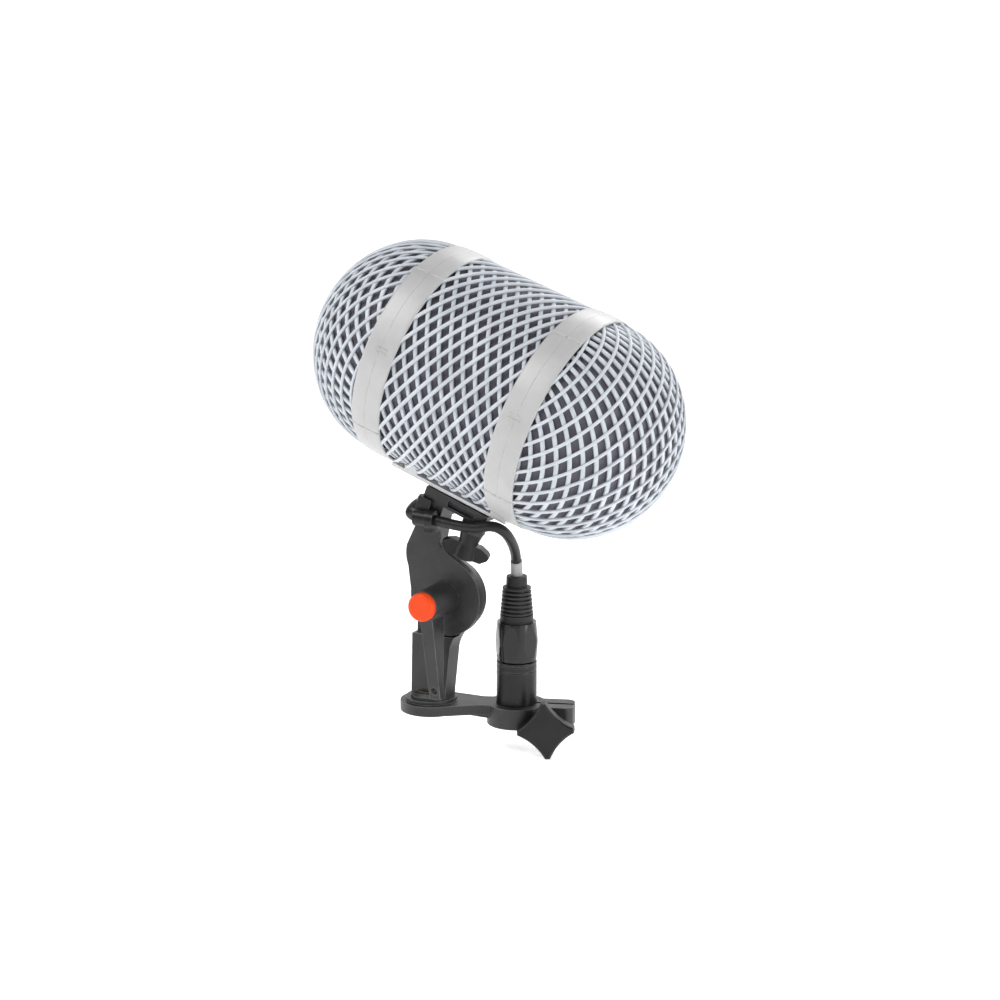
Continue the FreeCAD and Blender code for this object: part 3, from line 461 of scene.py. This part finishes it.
def joined(name, meshes):
    # one mesh from several, doubles merged and normals outwards
    work = bmesh.new()
    for mesh in meshes:
        work.from_mesh(mesh)
    bmesh.ops.remove_doubles(work, verts=work.verts, dist=1e-7)
    bmesh.ops.recalc_face_normals(work, faces=work.faces)
    for face in work.faces:
        face.smooth = True
        face.material_index = 0
    mesh = bpy.data.meshes.new(name)
    work.to_mesh(mesh)
    work.free()
    return addObject(name, mesh)


def helix(sign, radius, reach):
    line = []
    for step in range(41):
        s = -reach + 2 * reach * step / 40
        angle = sign * net["lean"] * s
        outward = Vector((0, -math.cos(angle), math.sin(angle)))
        line.append((outward * radius + Vector((s, 0, 0)), outward))
    return line


reach = net["reach"] * mm
centreNet = joined("centreNet", [
    sweepLines("outer", [helix(1, net["outerRadius"] * mm, reach)], net["outerWidth"] * mm,
               net["thickness"] * mm, 0.45, net["strands"]),
    sweepLines("inner", [helix(-1, net["innerRadius"] * mm, reach)], net["innerWidth"] * mm,
               net["thickness"] * mm, 0.3, net["strands"])])
settle(centreNet, "pod", "net", ["centre_basket"])


def domeLines(sign, length, radius, direction, spread, phase, inset, fan, still):
    # strands of one family: the dome cut by planes at even angles, fanned out from the one at angle still
    start = net["domeStart"] * mm
    radius -= inset
    length -= inset
    direction = Vector(direction).normalized()
    scaled = Vector((direction.x * length, direction.y * radius, direction.z * radius))
    scaled.normalize()
    poleward = Vector((sign, 0, 0))
    poleward = (poleward - scaled * poleward.dot(scaled)).normalized()
    lines = []
    for number in range(-net["reachPlanes"], net["reachPlanes"] + 1):
        place = number * spread + phase
        turn = fan * (place - still)
        if abs(place - turn) > net["lastPlane"]:
            continue
        share = math.sin(math.radians(place - turn))
        turn = math.radians(turn)
        normal = scaled * math.cos(turn) - poleward * math.sin(turn)
        sideA = -(poleward * math.cos(turn) + scaled * math.sin(turn))
        sideB = normal.cross(sideA)
        ring = math.sqrt(1 - share * share)
        steps = net["domeSteps"]
        run = []
        runs = []
        for step in range(2 * steps + 1):
            angle = 2 * math.pi * step / steps
            unit = normal * share + (sideA * math.cos(angle) + sideB * math.sin(angle)) * ring
            inside = unit.x * sign > -net["domeFoot"]
            if inside:
                point = Vector((sign * start + unit.x * length, unit.y * radius, unit.z * radius))
                point.x = sign * max(point.x * sign, start - net["domeTuck"] * mm)
                outward = Vector((unit.x / length, unit.y / radius, unit.z / radius)).normalized()
                run.append((point, outward))
            elif run:
                runs.append((step, run))
                run = []
            if not inside and step >= steps and runs:
                break
        if not runs and run:
            lines.append(run[:steps + 1])
        elif runs:
            lines.append(max((item[1] for item in runs), key=len))
    return lines


# per dome: families as (plane direction in basket axes, spread and phase in degrees, bar width,
# thickness and inset in mm, roundness, fan share, still angle in degrees)
domes = {
    "front": dict(sign=1, length=net["frontLength"], families=[
        ((0.545, 0.544, -0.638), 7.75, -1.3, 1.5, 1.3, 0.0, 0.48, 0.25, -36),
        ((0.276, 0.924, 0.265), 6.98, 1.9, 2.0, 1.3, 0.9, 0.3, 0.35, -30)]),
    "rear": dict(sign=-1, length=net["rearLength"], families=[
        ((0.52, -0.82, -0.22), 7.3, 0.0, 1.5, 1.3, 0.0, 0.48, 0.25, 0),
        ((0.28, -0.62, 0.74), 7.3, 0.0, 2.0, 1.3, 0.9, 0.3, 0.25, 0)]),
}
for name, dome in domes.items():
    meshes = []
    for number, family in enumerate(dome["families"]):
        direction, spread, phase, width, thick, inset, roundness, fan, still = family
        lines = domeLines(dome["sign"], dome["length"] * mm, net["domeRadius"] * mm, direction, spread,
                          phase, inset * mm, fan, still)
        meshes.append(sweepLines(name + str(number), lines, width * mm, thick * mm, roundness, 1))
    settle(joined(name + "DomeNet", meshes), name + "_cap", "net", [name + "_cap_basket"])
print("stage: net")


# bands
# marks per band: degrees up from the near side, from and to along the axis, height and width, in mm
bands = dict(
    seam=35.7, crown=0.30, edge=0.30, groove=0.10, close=0.11,
    front=[(58.7, 28.3, 43.1, 0.5, 1.0), (11.2, 32.0, 38.5, 0.4, 0.6), (9.0, 32.0, 38.5, 0.4, 0.6),
           (-36.3, 28.3, 43.1, 0.45, 0.9)],
    rear=[(57.3, 28.3, 43.1, 0.5, 1.0), (11.2, 32.0, 38.0, 0.4, 0.6), (9.0, 32.0, 38.0, 0.4, 0.6),
          (-36.3, 28.3, 43.1, 0.45, 0.9)])


def bandLook(node):
    # one low crown over both halves, rounded at the outer lips, fine at the seam
    work = cadCopy(node)
    bmesh.ops.transform(work, matrix=basket.inverted(), verts=work.verts)
    radial = [math.hypot(vert.co.y, vert.co.z) for vert in work.verts]
    top = max(radial)
    outer = [abs(vert.co.x) for vert, size in zip(work.verts, radial) if size > top - 0.1 * mm]
    first, last = min(outer), max(outer)
    side = 1 if sum(vert.co.x for vert in work.verts) > 0 else -1
    seam = bands["seam"] * mm
    half = last - first
    cuts = [first + half * share for share in (0.03, 0.06, 0.12, 0.3, 0.5, 0.7, 0.88, 0.94, 0.97)]
    for cut in cuts:
        bmesh.ops.bisect_plane(work, geom=work.verts[:] + work.edges[:] + work.faces[:], dist=1e-7,
                               plane_co=(side * cut, 0, 0), plane_no=(1, 0, 0))
    lips = [place for place in (first, last) if abs(place - seam) > 2 * mm]
    for vert in work.verts:
        size = math.hypot(vert.co.y, vert.co.z)
        if size > top - 0.1 * mm:
            place = abs(vert.co.x)
            drop = bands["crown"] * mm * ((place - seam) / half) ** 2
            near = 1 - min(abs(place - lip) for lip in lips) / (0.8 * mm)
            drop += bands["edge"] * mm * max(0.0, near) ** 2
            near = 1 - abs(place - seam) / (0.6 * mm)
            drop += bands["groove"] * mm * max(0.0, near) ** 2
            vert.co.y *= 1 - drop / size
            vert.co.z *= 1 - drop / size
            if abs(place - seam) < 0.2 * mm:
                vert.co.x += side * bands["close"] * mm * (1 if place < seam else -1)
    bmesh.ops.transform(work, matrix=basket, verts=work.verts)
    bmesh.ops.recalc_face_normals(work, faces=work.faces)
    mesh = bpy.data.meshes.new(node + "Look")
    work.to_mesh(mesh)
    work.free()
    smoothByAngle(mesh, 50)
    marks = addMarks(side, first, last, top)
    return settle(joinedWith(node + "Look", mesh, marks), nodeBody[node], slotOf[node], [node])


# section of a moulded bar: share of its width, share of its height
ridge = ((-0.5, 0), (-0.34, 0.8), (-0.12, 1), (0.12, 1), (0.34, 0.8), (0.5, 0))


def addMarks(side, first, last, top):
    # small moulded bars across the band: one long ridge, a pair of ticks and a low ridge
    made = []
    for angle, low, high, lift, width in bands["front" if side > 0 else "rear"]:
        low, high = sorted((low * mm, high * mm))
        low, high = max(low, first + 0.15 * mm), min(high, last - 0.15 * mm)
        if high - low < 0.3 * mm:
            continue
        turn = math.radians(angle)
        out = Vector((0, -math.cos(turn), math.sin(turn)))
        sideways = Vector((0, math.sin(turn), math.cos(turn)))
        work = bmesh.new()
        rings = []
        for place in (low, low + 0.25 * mm, high - 0.25 * mm, high):
            full = place not in (low, high)
            crownDrop = bands["crown"] * mm * ((place - bands["seam"] * mm) / (last - first)) ** 2
            base = top - crownDrop - 0.3 * mm
            tall = 0.3 * mm + (lift * mm if full else 0.0)
            ring = []
            for share, height in ridge:
                point = out * (base + tall * height) + sideways * share * width * mm
                ring.append(work.verts.new((side * place, point.y, point.z)))
            rings.append(ring)
        for a, b in zip(rings, rings[1:]):
            for step in range(5):
                work.faces.new((a[step], a[step + 1], b[step + 1], b[step]))
            work.faces.new((a[5], a[0], b[0], b[5]))
        work.faces.new(rings[0])
        work.faces.new(rings[-1])
        bmesh.ops.recalc_face_normals(work, faces=work.faces)
        bmesh.ops.transform(work, matrix=basket, verts=work.verts)
        for face in work.faces:
            face.smooth = True
        mark = bpy.data.meshes.new("mark")
        work.to_mesh(mark)
        work.free()
        made.append(mark)
    return made


def joinedWith(name, mesh, extras):
    work = bmesh.new()
    work.from_mesh(mesh)
    for extra in extras:
        work.from_mesh(extra)
    work.to_mesh(mesh)
    work.free()
    return addObject(name, mesh)


for node in ("front_body_ring", "rear_body_ring", "front_cap_ring", "rear_cap_ring"):
    bandLook(node)
print("stage: bands")


# leads
def smoothRoute(points, rounds=4):
    # corners cut again and again give soft bends
    points = [Vector(point) * mm for point in points]
    for _ in range(rounds):
        cut = [points[0]]
        for a, b in zip(points, points[1:]):
            cut += [a.lerp(b, 0.25), a.lerp(b, 0.75)]
        points = cut + [points[-1]]
    return points


def tubeMesh(name, points, radius, sides=24):
    work = bmesh.new()
    rings = []
    side = (points[1] - points[0]).orthogonal().normalized()
    for place, point in enumerate(points):
        ahead = points[min(place + 1, len(points) - 1)] - points[max(place - 1, 0)]
        ahead.normalize()
        side = (side - ahead * side.dot(ahead)).normalized()
        other = ahead.cross(side)
        rings.append([work.verts.new(point + (side * math.cos(turn) + other * math.sin(turn)) * radius)
                      for turn in (2 * math.pi * step / sides for step in range(sides))])
    for a, b in zip(rings, rings[1:]):
        for step in range(sides):
            work.faces.new((a[step], a[(step + 1) % sides], b[(step + 1) % sides], b[step]))
    work.faces.new(rings[0])
    work.faces.new(rings[-1])
    bmesh.ops.recalc_face_normals(work, faces=work.faces)
    mesh = bpy.data.meshes.new(name)
    work.to_mesh(mesh)
    work.free()
    smoothByAngle(mesh, 50)
    return mesh


def leadLook(name, points, radius, slot, node=None):
    piece = addObject(name, tubeMesh(name, points, radius * mm))
    piece.data.materials.append(materials[slot])
    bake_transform(piece)
    if node:
        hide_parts(node)
    return piece


boot = middle("cable_boot") / mm
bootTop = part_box("cable_boot")[1].z / mm
# routes in mm from the grommet to the clamp and from there to the boot; blend ends in m
clampExit = (8.7, -10.6, 93.91)
leads = dict(
    lowerStart=(0.0385, 0.0125, 0.071), lowerEnd=(0.0410, -0.0070, 0.0900),
    upperStart=(-0.0066, -0.006, 0.0975), upperEnd=(0.00496, 0.013, 0.10723),
    upper=[(7.41, 13.0, 113.8), (4.0, 13.0, 104.2), (-3.6, 10.8, 98.6), (-7.2, 5.4, 98.6),
           (-7.2, -1.6, 98.2), (-6.4, -10.4, 94.7), clampExit],
    lower=[clampExit, (20.0, -10.9, 92.6), (30.5, -11.0, 92.4), (38.0, -10.2, 94.4), (42.6, -6.0, 91.2),
           (41.4, 4.5, 82.6), (38.9, 11.9, 75.0), (boot.x, boot.y, bootTop + 2.0),
           (boot.x, boot.y, bootTop - 4.0)],
    radius=2.4, sleeveRadius=2.75, sleeveReach=7.8)
lowerPoints = smoothRoute(leads["lower"])
upperPoints = smoothRoute(leads["upper"])
sleevePoints = [point for point in lowerPoints
                if bootTop - 1.5 < point.z / mm < bootTop + leads["sleeveReach"] and point.y > 5 * mm]
leadLook("lowerLead", lowerPoints, leads["radius"], "cable_rubber",
         "tail_cable_lower")
leadLook("upperLead", upperPoints, leads["radius"], "cable_rubber",
         "tail_cable_upper")
leadLook("leadSleeve", sleevePoints, leads["sleeveRadius"], "sleeve_grey")
print("stage: leads")


# floor, light, camera
# powers in watts, lens in mm, camera place and aim in m
studio = dict(floorColour=(0.90, 0.90, 0.90, 1), floorGlow=0.62, world=(1.0, 1.0, 1.0, 1), worldStrength=0.19,
              key=12.5, fill=3.6, rim=7.0, strip=2.6, lens=76.1,
              camera=(0.4809, -0.8366, 0.2942), aim=(-0.4617, 0.8695, -0.1975))


def addFloor():
    work = bmesh.new()
    # a paper sweep: flat in front, bent up behind, sizes in m
    low = boundsStart[0].z - 0.4 * mm
    wide, front, back, rise, bend = 3.0, -2.4, 1.6, 2.2, 0.5
    path = [(front, low)]
    for step in range(13):
        angle = math.pi / 2 * step / 12
        path.append((back - bend + bend * math.sin(angle), low + bend - bend * math.cos(angle)))
    path.append((back, low + rise))
    rows = [[work.verts.new((x, y, z)) for x in (-wide, wide)] for y, z in path]
    for a, b in zip(rows, rows[1:]):
        work.faces.new((a[0], a[1], b[1], b[0]))
    for face in work.faces:
        face.smooth = True
    mesh = bpy.data.meshes.new("floor")
    work.to_mesh(mesh)
    work.free()
    piece = addObject("floor", mesh)
    material, graph, shader = newMaterial("floorPaper")
    place = graph.node("ShaderNodeTexCoord", output=3)
    tooth = graph.node("ShaderNodeTexNoise", {}, {"Vector": place, "Scale": 900.0, "Detail": 3.0})
    graph.feed(shader.inputs["Base Color"], graph.mix(tooth, studio["floorColour"],
                                                      tone(studio["floorColour"], 1.03)))
    graph.feed(shader.inputs["Roughness"], tooth.span(0.3, 0.7, 0.85, 0.95))
    graph.feed(shader.inputs["Normal"], graph.node("ShaderNodeBump", {}, {
        "Height": tooth, "Strength": 0.1, "Distance": 0.05 * mm}))
    shader.inputs["Emission Color"].default_value = studio["floorColour"]
    shader.inputs["Emission Strength"].default_value = studio["floorGlow"]
    mesh.materials.append(material)


def addLight(name, place, target, size, power):
    light = bpy.data.lights.new(name, "AREA")
    light.shape = "RECTANGLE"
    light.size, light.size_y = size
    light.energy = power
    made = bpy.data.objects.new(name, light)
    bpy.context.scene.collection.objects.link(made)
    made.location = place
    made.rotation_mode = "QUATERNION"
    made.rotation_quaternion = (Vector(target) - Vector(place)).to_track_quat("-Z", "Y")


addFloor()
centre = (boundsStart[0] + boundsStart[1]) / 2
addLight("keyLight", (-0.35, -0.75, 1.15), centre, (0.8, 0.6), studio["key"])
addLight("fillLight", (1.25, -0.65, 0.35), centre, (0.9, 0.9), studio["fill"])
addLight("rimLight", (0.2, 0.9, 0.9), centre, (0.9, 0.5), studio["rim"])
addLight("rightStrip", (0.75, -0.05, 0.12), (0.03, 0.0, 0.03), (0.12, 0.7), studio["strip"])
addLight("leftStrip", (-0.65, -0.35, 0.25), (0.0, 0.0, 0.03), (0.10, 0.6), studio["strip"] * 0.6)
world = bpy.data.worlds.new("studio")
world.use_nodes = True
background = world.node_tree.nodes["Background"]
background.inputs[0].default_value = studio["world"]
background.inputs[1].default_value = studio["worldStrength"]
bpy.context.scene.world = world
bpy.context.scene.view_settings.view_transform = "Standard"

camera = bpy.data.cameras.new("camera")
camera.lens = studio["lens"]
camera.clip_start = 0.01
eye = bpy.data.objects.new("camera", camera)
bpy.context.scene.collection.objects.link(eye)
eye.location = studio["camera"]
eye.rotation_mode = "QUATERNION"
eye.rotation_quaternion = Vector(studio["aim"]).to_track_quat("-Z", "Y")
bpy.context.scene.camera = eye
